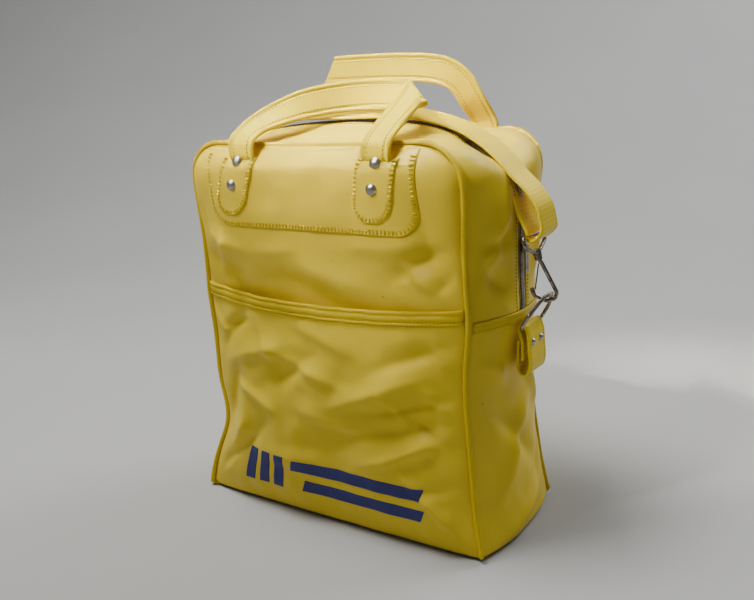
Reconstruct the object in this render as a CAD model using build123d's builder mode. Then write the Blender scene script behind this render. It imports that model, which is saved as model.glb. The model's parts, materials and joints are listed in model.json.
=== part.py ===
from build123d import *
import math
import os

# Vinyl airline flight bag, millimetres. X runs across the bag, the front faces -Y, Z is up.
# The origin is the middle of the base, on the floor.

# ---- driving dimensions ----
BASE_W = 306.0
BASE_D = 140.0
BODY_H = 346.0
WAIST_W = 273.0
TOP_W = 280.0
CORNER_R = 36.0
FOOT_R = 12.0
STRAIGHT_Z = 212.0
WAIST_PULL = 8.5
BACK_LEAN = 23.0
SIDE_FULL = 20.0
CORNER_SLACK = 2.2
VINYL = 2.0
GAP = 0.3
FLOOR_TRIM = 0.4
MAX_HEIGHT = 400.0

PIPING_R = 2.2
PANEL_INSET = 3.8
POCKET_TOP_Z = 206.0
HEM_Z = 202.0
HEM_H = 9.0

ZIP_LANE = 8.0
ZIP_SLOT = 0.6
TAPE_T = 0.8
TOOTH_T = 2.4
TOOTH_W = 2.2
MOUTH_HALF = 7.0
MOUTH_HALF_LENGTH = 118.0

YOKE_HALF = 108.0
YOKE_BOTTOM_Z = 274.0
PATCH_X = 75.0
PATCH_W = 38.0
PATCH_TOP_Z = 334.0
PATCH_BOTTOM_Z = 283.0
RIVET_R = 4.3
RIVET_Z = (308.0, 326.0)

HANDLE_W = 27.0
HANDLE_T = 3.2
HINGE_Z = 337.5

STRAP_W = 38.0
STRAP_T = 3.2
STRAP_Z = 354.0
STRAP_X = 172.0

TAB_W = 32.0
TAB_TOP_Z = 190.0
RING_WIRE_R = 1.6
RING_HALF = 21.5
RING_DEPTH = 31.0
HOOK_WIRE_R = 1.7
SLIDER_Z = 256.0

os.makedirs("parts", exist_ok=True)


def save(builder, name):
    builder.part.label = name
    export_step(builder.part, f"parts/{name}.step")


# ---- body form ----
def front_y(z):
    return -(BASE_D / 2 - WAIST_PULL * math.sin(math.pi * z / (BODY_H + 2)))


def back_y(z):
    lean = BACK_LEAN * (max(z, 0) / BODY_H) ** 6
    return BASE_D / 2 - WAIST_PULL * math.sin(math.pi * z / (BODY_H + 2)) + lean


# height and fullness of each face at its middle
PANEL_FULLNESS = [
    (2.4, 0), (60, 4), (130, 7), (205, 7), (250, 13), (280, 18), (310, 21), (328, 20), (338, 14), (343, 6),
]
POCKET_FULLNESS = [(2.4, 4), (30, 15), (75, 24), (120, 28), (165, 25), (206, 16)]
BACK_FULLNESS = [
    (2.4, 0), (60, 7), (130, 10), (205, 9), (250, 9), (280, 11), (310, 14), (328, 13), (338, 9), (343, 4),
]


def fullness_at(stations, z):
    """Height-wise fullness, in straight steps between the stations."""
    for (z0, f0), (z1, f1) in zip(stations, stations[1:]):
        if z <= z1:
            return f0 + (f1 - f0) * (z - z0) / (z1 - z0)
    return stations[-1][1]


def panel_section(z, middle, facing, fullness, out, thick):
    """One closed cut through a bulging sheet at height z; facing is -1 at the front, +1 at the back."""
    span = BASE_W / 2
    share = [(-1.0, 0.0), (-0.82, 0.6), (-0.5, 0.93), (0.0, 1.0), (0.5, 0.93), (0.82, 0.6), (1.0, 0.0)]
    with BuildSketch(Plane.XY.offset(z)) as section:
        with BuildLine():
            outer = Spline([(u * span, middle + facing * (fullness * s + out)) for u, s in share])
            inner = Spline([(u * span, middle + facing * (fullness * s + out - thick)) for u, s in share])
            Line(outer @ 0, inner @ 0)
            Line(outer @ 1, inner @ 1)
        make_face()
    return section.sketch


def sheet(stations, side, out, thick):
    """A bulging sheet, lofted up the bag, its outer face `out` beyond the panel's own."""
    place = front_y if side < 0 else back_y
    with BuildPart() as skin:
        loft([panel_section(z, place(z), side, f, out, thick).faces()[0] for z, f in stations], ruled=True)
    return skin.part


def outline(bulge, inset, top_inset=None):
    """Closed outline of the bag across its width: foot, side, rounded shoulder and top."""
    half_low = BASE_W / 2 + 0.4 * bulge - inset
    half_waist = WAIST_W / 2 + 0.88 * bulge - inset
    half_top = TOP_W / 2 + bulge - inset
    floor = inset - FLOOR_TRIM
    top = BODY_H + 0.2 * bulge - (inset if top_inset is None else top_inset)
    corner = CORNER_R + CORNER_SLACK * max(bulge, 0) - inset
    bend = corner * (1 - math.cos(math.radians(45)))
    with BuildSketch(Plane.XZ) as shape:
        with BuildLine():
            Line((-half_low + FOOT_R, floor), (half_low - FOOT_R, floor))
            for s in (1, -1):
                foot = ThreePointArc(
                    (s * (half_low - FOOT_R), floor),
                    (s * (half_low - 0.29 * FOOT_R), floor + 0.29 * FOOT_R),
                    (s * half_low, floor + FOOT_R),
                )
                flank = Spline(
                    foot @ 1,
                    (s * (half_waist + 6), 60),
                    (s * half_waist, 140),
                    (s * half_top, STRAIGHT_Z),
                    tangents=[(0, 1), (0, 1)],
                )
                upright = Line(flank @ 1, (s * half_top, top - corner))
                ThreePointArc(
                    upright @ 1,
                    (s * (half_top - bend), top - bend),
                    (s * (half_top - corner), top),
                )
            ThreePointArc((half_top - corner, top), (0, top - 2.5), (corner - half_top, top))
        make_face()
    return shape.sketch


def outline_prism(bulge, inset):
    with BuildPart() as prism:
        extrude(outline(bulge, inset), amount=140, both=True)
    return prism.part


def ring_loft(inset):
    """The bag's girth: side, shoulder and top, fuller in the middle of its depth."""
    shoulder = 0.8 * SIDE_FULL
    cuts = [(-84, -8), (-66, 0), (-36, shoulder), (0, SIDE_FULL), (40, shoulder), (76, 4), (108, -8)]
    with BuildPart() as ring:
        loft([outline(b, inset).moved(Location((0, y, 0))).faces()[0] for y, b in cuts])
    return ring.part


def depth_region(front_gap, back_gap):
    """Everything between the front and back panels' seams."""
    heights = [-20 + 20 * i for i in range(20)]
    with BuildPart() as region:
        with BuildSketch(Plane.YZ):
            with BuildLine():
                front = Spline([(front_y(z) + front_gap, z) for z in heights])
                back = Spline([(back_y(z) - back_gap, z) for z in heights])
                Line(front @ 0, back @ 0)
                Line(front @ 1, back @ 1)
            make_face()
        extrude(amount=220, both=True)
    return region.part


GIRTH_OUT = ring_loft(0)
GIRTH_IN = ring_loft(VINYL)
BETWEEN = depth_region(0.5, 0.5)

def kept_box(x0, x1, y0, y1, z0, z1):
    with BuildPart() as keep:
        with Locations(((x0 + x1) / 2, (y0 + y1) / 2, (z0 + z1) / 2)):
            Box(x1 - x0, y1 - y0, z1 - z0)
    return keep.part


with BuildPart() as girth_build:
    add(GIRTH_OUT)
    add(GIRTH_IN, mode=Mode.SUBTRACT)
    add(BETWEEN, mode=Mode.INTERSECT)
    add(kept_box(-200, 200, -120, 120, 0, MAX_HEIGHT), mode=Mode.INTERSECT)
girth = girth_build.part

PANEL_OUTLINE = outline_prism(0, PANEL_INSET)



# ---- lower body: base and side gussets ----
with BuildPart() as bottom_panel:
    add(girth)
    add(kept_box(-200, 200, -120, 120, -5, VINYL), mode=Mode.INTERSECT)
save(bottom_panel, "bottom_panel")

for side, word in ((1, "right"), (-1, "left")):
    with BuildPart() as side_gusset:
        add(girth)
        add(kept_box(min(0, side * 220), max(0, side * 220), -120, 120, VINYL, HEM_Z), mode=Mode.INTERSECT)
    save(side_gusset, f"side_gusset_{word}")

# ---- pocket, front and back panels ----
for word, facing, stations in (("front", -1, PANEL_FULLNESS), ("back", 1, BACK_FULLNESS)):
    with BuildPart() as panel:
        add(sheet(stations, facing, 0, VINYL))
        add(PANEL_OUTLINE, mode=Mode.INTERSECT)
    save(panel, f"{word}_panel")

with BuildPart() as pocket_panel:
    add(sheet(POCKET_FULLNESS, -1, 2.0, 1.8))
    add(PANEL_OUTLINE, mode=Mode.INTERSECT)
save(pocket_panel, "pocket_panel")

with BuildPart() as pocket_binding:
    add(sheet([(POCKET_TOP_Z - 9.7, 18.4), (POCKET_TOP_Z - 5, 17.2), (POCKET_TOP_Z, 16.0)], -1, 4.4, 2.0))
    add(PANEL_OUTLINE, mode=Mode.INTERSECT)
save(pocket_binding, "pocket_binding")


# ---- piping along the front and back seams ----
def seam_path(place, facing):
    """Points up one side, over the top and down the other, on the seam of one face."""
    half_low = BASE_W / 2
    half_top = TOP_W / 2
    side = [
        (half_low - 0.5, 3.5), (half_low - 0.6, 14), (half_low - 1.8, 25), (half_low - 4.2, 38),
        (WAIST_W / 2 + 4, 85), (WAIST_W / 2, 140), (half_top, 225), (half_top, 290),
        (half_top - 2, 322), (half_top - 12, 338), (half_top - 32, BODY_H - 0.5),
    ]
    over = [(50, BODY_H - 1.5), (0, BODY_H - 2.5), (-50, BODY_H - 1.5)]
    flat = side + over + [(-x, z) for x, z in reversed(side)]
    return [(x, place(z) + facing * (PIPING_R - 0.1), z) for x, z in flat]


for word, facing, place in (("front", -1, front_y), ("back", 1, back_y)):
    with BuildPart() as piping:
        with BuildLine() as seam:
            Spline(seam_path(place, facing))
        with BuildSketch(Plane(seam.line @ 0, z_dir=seam.line % 0)):
            Circle(PIPING_R)
        sweep()
    save(piping, f"{word}_piping")

# ---- zip: gusset strips, tapes, teeth and stops ----
def lane_edge(facing, y):
    """One long edge beside the zip: straight on the sides, bowed out along the open mouth."""
    Line((-220, facing * y), (-MOUTH_HALF_LENGTH, facing * y))
    ThreePointArc(
        (-MOUTH_HALF_LENGTH, facing * y),
        (0, facing * (y + MOUTH_HALF - ZIP_SLOT)),
        (MOUTH_HALF_LENGTH, facing * y),
    )
    Line((MOUTH_HALF_LENGTH, facing * y), (220, facing * y))


def half_lane(facing, y_near, y_far):
    """The strip of depth from y_near to y_far on one side of the zip, above the gusset's hem."""
    with BuildPart() as lane:
        with BuildSketch(Plane.XY.offset(HEM_Z + GAP)):
            with BuildLine():
                lane_edge(facing, y_near)
                lane_edge(facing, y_far)
                Line((-220, facing * y_near), (-220, facing * y_far))
                Line((220, facing * y_near), (220, facing * y_far))
            make_face()
        extrude(amount=200)
    return lane.part


def girth_band(outer_inset, inner_inset):
    with BuildPart() as band:
        extrude(outline(SIDE_FULL, outer_inset), amount=30, both=True)
        extrude(outline(SIDE_FULL, inner_inset), amount=30, both=True, mode=Mode.SUBTRACT)
    return band.part


for word, facing in (("front", -1), ("back", 1)):
    with BuildPart() as strip:
        add(girth)
        add(kept_box(-220, 220, min(0, facing * 120), max(0, facing * 120), HEM_Z + GAP, 380), mode=Mode.INTERSECT)
        add(half_lane(facing, -30, ZIP_LANE), mode=Mode.SUBTRACT)
    save(strip, f"zip_gusset_{word}")

    with BuildPart() as tape:
        add(girth_band(1.2, 1.2 + TAPE_T))
        add(half_lane(facing, ZIP_SLOT + TOOTH_W, ZIP_LANE), mode=Mode.INTERSECT)
    save(tape, f"zip_tape_{word}")

    with BuildPart() as teeth:
        add(girth_band(0.4, 0.4 + TOOTH_T))
        add(half_lane(facing, ZIP_SLOT, ZIP_SLOT + TOOTH_W), mode=Mode.INTERSECT)
    save(teeth, f"zip_teeth_{word}")


# ---- hems where the lower side gussets meet the zip strips ----
with BuildPart() as hem_ring:
    add(ring_loft(-1.2))
    add(GIRTH_OUT, mode=Mode.SUBTRACT)
    add(depth_region(4.0, 4.0), mode=Mode.INTERSECT)
    add(kept_box(-220, 220, -120, 120, HEM_Z - HEM_H, HEM_Z), mode=Mode.INTERSECT)

for side, word in ((1, "right"), (-1, "left")):
    with BuildPart() as hem:
        add(hem_ring.part)
        add(kept_box(min(0, side * 220), max(0, side * 220), -120, 120, 0, 380), mode=Mode.INTERSECT)
    save(hem, f"side_hem_{word}")


# ---- padded yokes, handle patches and rivets on both faces ----
def on_face(facing, stations, out, thick, profile):
    """A layer that follows a face, cut to a profile drawn across the bag."""
    with BuildPart() as layer:
        add(sheet(stations, facing, out, thick))
        add(profile, mode=Mode.INTERSECT)
    return layer.part


with BuildPart() as yoke_profile:
    with BuildSketch(Plane.XZ):
        with Locations((0, (YOKE_BOTTOM_Z + 400) / 2)):
            RectangleRounded(2 * YOKE_HALF, 400 - YOKE_BOTTOM_Z, 22)
    extrude(amount=150, both=True)
    add(PANEL_OUTLINE, mode=Mode.INTERSECT)

with BuildPart() as patch_profile:
    with BuildSketch(Plane.XZ):
        with Locations((-PATCH_X, 0), (PATCH_X, 0)):
            with Locations((0, (PATCH_BOTTOM_Z + PATCH_TOP_Z) / 2)):
                Rectangle(PATCH_W, PATCH_TOP_Z - PATCH_BOTTOM_Z)
    extrude(amount=150, both=True)
    fillet(patch_profile.edges().filter_by(Axis.Y).group_by(Axis.Z)[0], 17)

for word, facing, place, stations in (
    ("front", -1, front_y, PANEL_FULLNESS),
    ("back", 1, back_y, BACK_FULLNESS),
):
    with BuildPart() as yoke:
        add(on_face(facing, stations, 1.8, 1.7, yoke_profile.part))
    save(yoke, f"{word}_yoke")

    with BuildPart() as patches:
        add(on_face(facing, stations, 3.2, 1.3, patch_profile.part))
    save(patches, f"{word}_handle_patches")

    with BuildPart() as rivets:
        for z in RIVET_Z:
            face_y = place(z) + facing * (0.955 * fullness_at(stations, z) + 4.4)
            with BuildSketch(Plane(origin=(0, face_y, z), x_dir=(1, 0, 0), z_dir=(0, facing, 0))):
                with Locations((-PATCH_X, 0), (PATCH_X, 0)):
                    Circle(RIVET_R)
            extrude(amount=2.0, taper=30)
    save(rivets, f"{word}_handle_rivets")


# ---- straps made of cross-sections set along a route ----
def eased(stops, parts=2):
    """More stops between the given ones, on a smooth curve through them."""
    rows = [Vector(*c) for c, _ in stops], [Vector(*w).normalized() for _, w in stops]
    last = len(stops) - 1
    finer = []
    for i in range(last):
        for t in (k / parts for k in range(parts)):
            weights = (
                -0.5 * t + t**2 - 0.5 * t**3,
                1 - 2.5 * t**2 + 1.5 * t**3,
                0.5 * t + 2 * t**2 - 1.5 * t**3,
                -0.5 * t**2 + 0.5 * t**3,
            )
            picks = [max(0, i - 1), i, i + 1, min(last, i + 2)]
            mixed = [sum((row[k] * w for k, w in zip(picks, weights)), Vector(0, 0, 0)) for row in rows]
            finer.append(tuple(mixed))
    finer.append((rows[0][last], rows[1][last]))
    return finer


def band(stops, width, thickness):
    """A flat band through stops of (centre, direction of its width), closed with flat facets."""
    finer = eased(stops)
    rings = []
    for i, (centre, across) in enumerate(finer):
        ahead = finer[min(i + 1, len(finer) - 1)][0] - finer[max(i - 1, 0)][0]
        flat = (across - ahead * (across.dot(ahead) / ahead.dot(ahead))).normalized()
        face = ahead.cross(flat).normalized()
        corners = ((1, 1), (-1, 1), (-1, -1), (1, -1))
        rings.append([centre + flat * (a * width / 2) + face * (b * thickness / 2) for a, b in corners])
    facets = [rings[0], rings[-1]]
    for near, far in zip(rings, rings[1:]):
        for k in range(4):
            n = (k + 1) % 4
            facets.append([near[k], near[n], far[n]])
            facets.append([near[k], far[n], far[k]])
    return Solid(Shell([Face(Wire.make_polygon(corners, close=True)) for corners in facets]))


front_hinge_y = front_y(HINGE_Z) - 0.955 * fullness_at(PANEL_FULLNESS, HINGE_Z) - 5.0
back_hinge_y = back_y(HINGE_Z) + 0.955 * fullness_at(BACK_FULLNESS, HINGE_Z) + 7.6

ALONG_X = (1, 0, 0)
UPRIGHT = (0, -0.1, 1)

front_stops = [
    ((-75, front_hinge_y, HINGE_Z), (-1, 0, 0)),
    ((-75.5, front_hinge_y + 3, 349), (-1, 0, 0.1)),
    ((-74, -70, 363), (-0.95, 0.1, 0.3)),
    ((-67, -50, 374), (-0.8, 0.1, 0.6)),
    ((-50, -29, 381), (-0.4, 0.1, 0.9)),
    ((-27, -12, 382), (-0.1, 0, 1)),
    ((10, -5, 380), UPRIGHT),
    ((40, -4, 379), UPRIGHT),
    ((57, -9, 380), (-0.6, 0, 0.8)),
    ((66, -22, 379), (-1, 0, 0.3)),
    ((71, -44, 371), (-1, 0, 0.1)),
    ((74, -68, 360), (-1, 0, 0)),
    ((75, front_hinge_y + 3, 349), (-1, 0, 0)),
    ((75, front_hinge_y, HINGE_Z), (-1, 0, 0)),
]
back_stops = [
    ((-75, back_hinge_y, HINGE_Z), ALONG_X),
    ((-80, back_hinge_y - 1, 350), (1, 0, 0.2)),
    ((-86, 96, 368), (0.9, 0, 0.4)),
    ((-84, 84, 388), (0.7, 0, 0.7)),
    ((-72, 80, 402), (0.3, 0, 1)),
    ((-45, 80, 406), (0, 0, 1)),
    ((0, 80, 406), (0, 0, 1)),
    ((38, 81, 401), (0.2, 0, 1)),
    ((64, 85, 389), (0.5, 0, 0.85)),
    ((80, 91, 373), (0.85, 0, 0.5)),
    ((84, back_hinge_y - 4, 359), (1, 0, 0.2)),
    ((80, back_hinge_y - 0.5, 348), ALONG_X),
    ((75, back_hinge_y, HINGE_Z), ALONG_X),
]
for word, stops in (("front", front_stops), ("back", back_stops)):
    with BuildPart() as handle:
        add(band(stops, HANDLE_W, HANDLE_T))
    save(handle, f"{word}_handle")

# ---- right-hand ring, tab, hook and strap end, mirrored for the left ----
RING_PIVOT = (165.5, 0, TAB_TOP_Z)
RING_APEX = (181.0, 0, 217.0)
SWIVEL = (172.5, -3, 252)

up_ring = Vector(RING_APEX[0] - RING_PIVOT[0], 0, RING_APEX[2] - RING_PIVOT[2]).normalized()
ring_plane = Plane(origin=RING_PIVOT, x_dir=(0, 1, 0), z_dir=Vector(0, 1, 0).cross(up_ring))

with BuildPart() as ring:
    with BuildLine(ring_plane) as ring_line:
        FilletPolyline(
            (RING_HALF, 0), (RING_HALF, 15), (9, RING_DEPTH), (-9, RING_DEPTH), (-RING_HALF, 15), (-RING_HALF, 0),
            radius=5, close=True,
        )
    with BuildSketch(Plane(ring_line.line @ 0, z_dir=ring_line.line % 0)):
        Circle(RING_WIRE_R)
    sweep()

lean = (Vector(*SWIVEL) - Vector(*RING_APEX)).normalized()
across_view = Vector(0.836, 0.547, 0)
across = (across_view - lean * across_view.dot(lean)).normalized()
hook_plane = Plane(origin=SWIVEL, x_dir=across, z_dir=across.cross(lean))
drop = (Vector(*SWIVEL) - Vector(*RING_APEX)).length
bend_v = -(drop + RING_WIRE_R + HOOK_WIRE_R + 1.2)

with BuildPart() as hook:
    with BuildLine(hook_plane) as hook_line:
        FilletPolyline(
            (0, -5.2), (1.5, -9), (7.5, bend_v + 4), (4.5, bend_v), (-2.5, bend_v), (-11, bend_v + 7.5),
            (-11.5, bend_v + 14), radius=(1.5, 4.5, 2.4, 3, 3),
        )
    with BuildSketch(Plane(hook_line.line @ 0, z_dir=hook_line.line % 0)):
        Circle(HOOK_WIRE_R)
    sweep()
    with BuildSketch(Plane(origin=Vector(*SWIVEL) - lean * 5.5, x_dir=across, z_dir=lean)):
        Circle(3.2)
    extrude(amount=3.2)

with BuildPart() as gate:
    with BuildLine(hook_plane) as gate_line:
        Line((-1.0, -8.6), (-8.9, bend_v + 12.0))
    with BuildSketch(Plane(gate_line.line @ 0, z_dir=gate_line.line % 0)):
        Circle(0.6)
    sweep()

EYE_RISE = 15.0
EYE_HALF = 20.5
with BuildPart() as eye:
    with BuildLine(Plane(origin=SWIVEL, x_dir=(0, 1, 0), z_dir=(Vector(0, 1, 0)).cross(lean))) as eye_line:
        FilletPolyline(
            (EYE_HALF, EYE_RISE), (EYE_HALF, 8), (7, 1.8), (-7, 1.8), (-EYE_HALF, 8), (-EYE_HALF, EYE_RISE),
            radius=3, close=True,
        )
    with BuildSketch(Plane(eye_line.line @ 0, z_dir=eye_line.line % 0)):
        Circle(HOOK_WIRE_R)
    sweep()
    with BuildSketch(Plane(origin=Vector(*SWIVEL) - lean * 1.9, x_dir=across, z_dir=lean)):
        Circle(3.6)
    extrude(amount=5.0)

eye_bar = Vector(*SWIVEL) + lean * EYE_RISE

with BuildPart() as strap:
    with BuildSketch(Plane.XZ) as strap_sketch:
        with BuildLine() as strap_line:
            reach = [(STRAP_X + 1, 284), (STRAP_X - 6, 298), (STRAP_X - 21, 319), (STRAP_X - 38, 338),
                     (STRAP_X - 60, 349), (84, 354)]
            end = (eye_bar.X, eye_bar.Z + 3.6)
            Spline(end, *reach, (0, STRAP_Z), *[(-x, z) for x, z in reversed(reach)], (-end[0], end[1]))
        trace(line_width=STRAP_T)
        with Locations((eye_bar.X, eye_bar.Z), (-eye_bar.X, eye_bar.Z)):
            Circle(4.0)
            Circle(HOOK_WIRE_R + 0.15, mode=Mode.SUBTRACT)
    extrude(amount=STRAP_W / 2 - 2, both=True)
save(strap, "shoulder_strap")

TAB_BOTTOM_Z = 152.0
with BuildPart() as tab:
    with BuildSketch(Plane.XZ):
        with BuildLine():
            Polyline(
                (163.4, TAB_TOP_Z - 3), (162.6, 175), (161.4, TAB_BOTTOM_Z + 5), (163.5, TAB_BOTTOM_Z + 1),
                (167, TAB_BOTTOM_Z), (170, TAB_BOTTOM_Z + 3), (170, 165), (167.6, TAB_TOP_Z - 3), close=True,
            )
        make_face()
        with Locations((RING_PIVOT[0], RING_PIVOT[2])):
            Circle(3.8)
            Circle(RING_WIRE_R + 0.3, mode=Mode.SUBTRACT)
    extrude(amount=TAB_W / 2, both=True)

with BuildPart() as tab_rivets:
    with BuildSketch(Plane(origin=(169.4, 0, 178), x_dir=(0, 1, 0), z_dir=(1, 0, 0))):
        with Locations((-8, 0), (8, 0)):
            Circle(2.6)
    extrude(amount=1.4, taper=20)

for name, built in (
    ("d_ring", ring),
    ("snap_hook", hook),
    ("hook_gate", gate),
    ("strap_eye", eye),
    ("ring_tab", tab),
    ("tab_rivets", tab_rivets),
):
    save(built, f"{name}_right")
    with BuildPart() as mirrored:
        add(built.part)
        mirror(about=Plane.YZ, mode=Mode.REPLACE)
    save(mirrored, f"{name}_left")

# ---- zip slider, its pull and the end stops ----
LANE_X = TOP_W / 2 + SIDE_FULL
TOOTH_MID_X = LANE_X - 0.4 - TOOTH_T / 2

with BuildPart() as zip_slider:
    with BuildSketch(Plane.XY.offset(SLIDER_Z - 5)):
        for offset_x in (-2.1, 2.1):
            with Locations((TOOTH_MID_X + offset_x, 0)):
                RectangleRounded(1.2, 8.4, 0.4)
        with Locations((TOOTH_MID_X, 0)):
            Rectangle(4.2, 0.8)
    extrude(amount=10)
    with BuildSketch(Plane.XZ):
        with Locations((TOOTH_MID_X + 2.5, SLIDER_Z)):
            with Locations((1.2, 0)):
                Circle(1.4)
                Circle(0.7, mode=Mode.SUBTRACT)
    extrude(amount=1.2, both=True)
save(zip_slider, "zip_slider")

PULL_X = TOOTH_MID_X + 3.7
PULL_LENGTH = 22.0
with BuildPart() as zip_pull:
    with BuildSketch(Plane.YZ.offset(PULL_X)) as pull_face:
        with Locations((0, SLIDER_Z - PULL_LENGTH / 2)):
            RectangleRounded(5.8, PULL_LENGTH, 2.2)
        with Locations((0, SLIDER_Z - 1)):
            Rectangle(3.2, 6, mode=Mode.SUBTRACT)
    extrude(amount=0.5, both=True)
    with BuildSketch(Plane.XZ):
        with Locations((PULL_X, SLIDER_Z)):
            Circle(0.62)
    extrude(amount=2.6, both=True)
save(zip_pull, "zip_pull")
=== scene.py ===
import bpy
import json
import math
import numpy as np
from mathutils import Matrix, Vector, noise

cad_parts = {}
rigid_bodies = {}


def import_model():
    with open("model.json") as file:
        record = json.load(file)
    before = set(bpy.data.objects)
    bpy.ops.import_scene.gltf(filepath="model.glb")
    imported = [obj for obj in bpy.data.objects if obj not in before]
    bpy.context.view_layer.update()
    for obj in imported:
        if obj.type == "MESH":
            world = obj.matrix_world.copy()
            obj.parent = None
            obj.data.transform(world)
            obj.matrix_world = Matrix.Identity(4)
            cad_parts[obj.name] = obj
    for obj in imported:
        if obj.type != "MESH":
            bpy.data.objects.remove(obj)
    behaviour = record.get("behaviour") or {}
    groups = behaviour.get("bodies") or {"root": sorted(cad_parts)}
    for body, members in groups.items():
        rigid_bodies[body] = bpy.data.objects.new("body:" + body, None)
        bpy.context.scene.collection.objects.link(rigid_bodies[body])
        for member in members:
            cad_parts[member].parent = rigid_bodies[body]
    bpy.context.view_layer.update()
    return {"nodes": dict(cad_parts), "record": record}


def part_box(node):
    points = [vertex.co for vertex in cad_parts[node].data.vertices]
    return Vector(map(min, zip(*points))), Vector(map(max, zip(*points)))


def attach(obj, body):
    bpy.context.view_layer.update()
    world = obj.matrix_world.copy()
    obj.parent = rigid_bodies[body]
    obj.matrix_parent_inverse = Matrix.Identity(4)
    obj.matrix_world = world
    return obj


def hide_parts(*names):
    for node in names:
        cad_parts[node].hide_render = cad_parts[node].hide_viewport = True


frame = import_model()
MM = 0.001

# ---- camera, floor and light ----
RIGHT = Vector((0.83602, 0.54703, -0.04289))
UP = Vector((-0.09811, 0.22592, 0.96919))
BACK = Vector((0.53986, -0.80605, 0.24254))
EYE = Vector((0.44027, -0.63938, 0.38793))
SENSOR = 36.0
FOCAL_WIDTHS = 1.12732


def add_camera():
    """A camera given by its place and the directions of its right, its up and its back."""
    data = bpy.data.cameras.new("camera")
    data.sensor_width = SENSOR
    data.lens = SENSOR * FOCAL_WIDTHS
    cam = bpy.data.objects.new("camera", data)
    turn = Matrix((RIGHT, UP, BACK)).transposed().to_4x4()
    cam.matrix_world = Matrix.Translation(EYE) @ turn
    bpy.context.scene.collection.objects.link(cam)
    bpy.context.scene.camera = cam


def add_area(name, place, aim, size, power, colour=(1, 1, 1), spread=180):
    """A square soft light at `place`, turned to `aim`; a small spread keeps its light in a narrow cone."""
    data = bpy.data.lights.new(name, "AREA")
    data.size = size
    data.spread = math.radians(spread)
    data.energy = power
    data.color = colour
    light = bpy.data.objects.new(name, data)
    light.location = place
    light.rotation_euler = (Vector(aim) - Vector(place)).to_track_quat("-Z", "Y").to_euler()
    bpy.context.scene.collection.objects.link(light)


# ---- mesh helpers; shapes are worked out in millimetres ----
SHEET_T = 1.6


def make_mesh(name, points, faces, material, body="bag", smooth=True):
    """A mesh object from points in millimetres, riding on a body."""
    mesh = bpy.data.meshes.new(name)
    mesh.from_pydata([tuple(float(c) * MM for c in p) for p in points], [], faces)
    mesh.update()
    obj = bpy.data.objects.new(name, mesh)
    bpy.context.scene.collection.objects.link(obj)
    mesh.materials.append(material)
    if smooth:
        mesh.shade_smooth()
    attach(obj, body)
    return obj


def grid_faces(rows, cols, flip=False, wrap=False, start=0):
    faces = []
    for i in range(rows - 1):
        for j in range(cols if wrap else cols - 1):
            a = start + i * cols + j
            b = start + i * cols + (j + 1) % cols
            quad = (a, b, b + cols, a + cols)
            faces.append(quad[::-1] if flip else quad)
    return faces


def grid_piece(name, grid, material, flip=False, thick=SHEET_T):
    """A sheet from a rows x cols grid of points, given its real thickness inwards."""
    rows, cols = grid.shape[:2]
    obj = make_mesh(name, grid.reshape(-1, 3), grid_faces(rows, cols, flip), material)
    solid = obj.modifiers.new("thickness", "SOLIDIFY")
    solid.thickness = thick * MM
    solid.offset = -1
    return obj


def smooth_table(stations, low, high, spread):
    """A lookup through (place, value) stations, with its corners rounded off."""
    at = np.linspace(low, high, 400)
    places, values = zip(*stations)
    raw = np.interp(at, places, values)
    step = (high - low) / 399
    reach = int(3 * spread / step) + 1
    kernel = np.exp(-0.5 * (np.arange(-reach, reach + 1) * step / spread) ** 2)
    kernel /= kernel.sum()
    padded = np.pad(raw, reach, mode="edge")
    return at, np.convolve(padded, kernel, mode="valid")


def look_up(table, place):
    return np.interp(place, table[0], table[1])


# ---- body form ----
BODY_H = 346.0
CORNER_R = 35.0
SHOULDER_Z = 310.5
FOOT_R = 7.0
HEM_Z = 202.0
SIDE_FULL = 20.0
TOP_DIP = 2.5
SEAM_NIP = 2.4
HALF = smooth_table([
    (0, 153), (16, 150.5), (37, 146), (63, 143), (89, 140), (114, 137.5), (139, 135.5), (165, 136),
    (186, 138), (203, 139.5), (231, 138), (263, 137.5), (291, 139), (310, 139.5), (346, 139.5),
], 0, 350, 6)
FRONT_FULL = smooth_table([
    (0, 0), (10, 3), (60, 6), (130, 8), (205, 6), (225, 9), (255, 14), (280, 18), (310, 20.5),
    (328, 20), (338, 13), (346, 0), (350, 0),
], 0, 350, 4)
BACK_FULL = smooth_table([
    (0, 0), (10, 2), (60, 7), (130, 10), (205, 9), (250, 9), (280, 11), (310, 14), (328, 13),
    (338, 9), (346, 0), (350, 0),
], 0, 350, 4)
POCKET_FULL = smooth_table([
    (0, 0), (6, 5), (30, 15), (75, 23), (120, 26), (165, 23), (206, 15), (240, 12),
], 0, 350, 7)
SIDE_SHARE = smooth_table([
    (0, 0.55), (40, 0.75), (100, 0.9), (200, 1), (350, 1),
], 0, 350, 10)


def front_y(z):
    return -(70 - 8.5 * np.sin(np.pi * z / 348))


def back_y(z):
    return 70 - 8.5 * np.sin(np.pi * z / 348) + 23 * (np.maximum(z, 0) / BODY_H) ** 6


def foot_tuck(z):
    """How far a wall turns in as it rounds the bottom edge."""
    drop = np.clip(FOOT_R - z, 0, FOOT_R)
    return FOOT_R - np.sqrt(FOOT_R ** 2 - drop ** 2)


def half_width(z):
    side = look_up(HALF, z) - 0.5 * foot_tuck(z)
    over = np.clip(z - SHOULDER_Z, 0, CORNER_R - 0.01)
    return side - CORNER_R + np.sqrt(CORNER_R ** 2 - over ** 2)


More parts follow.
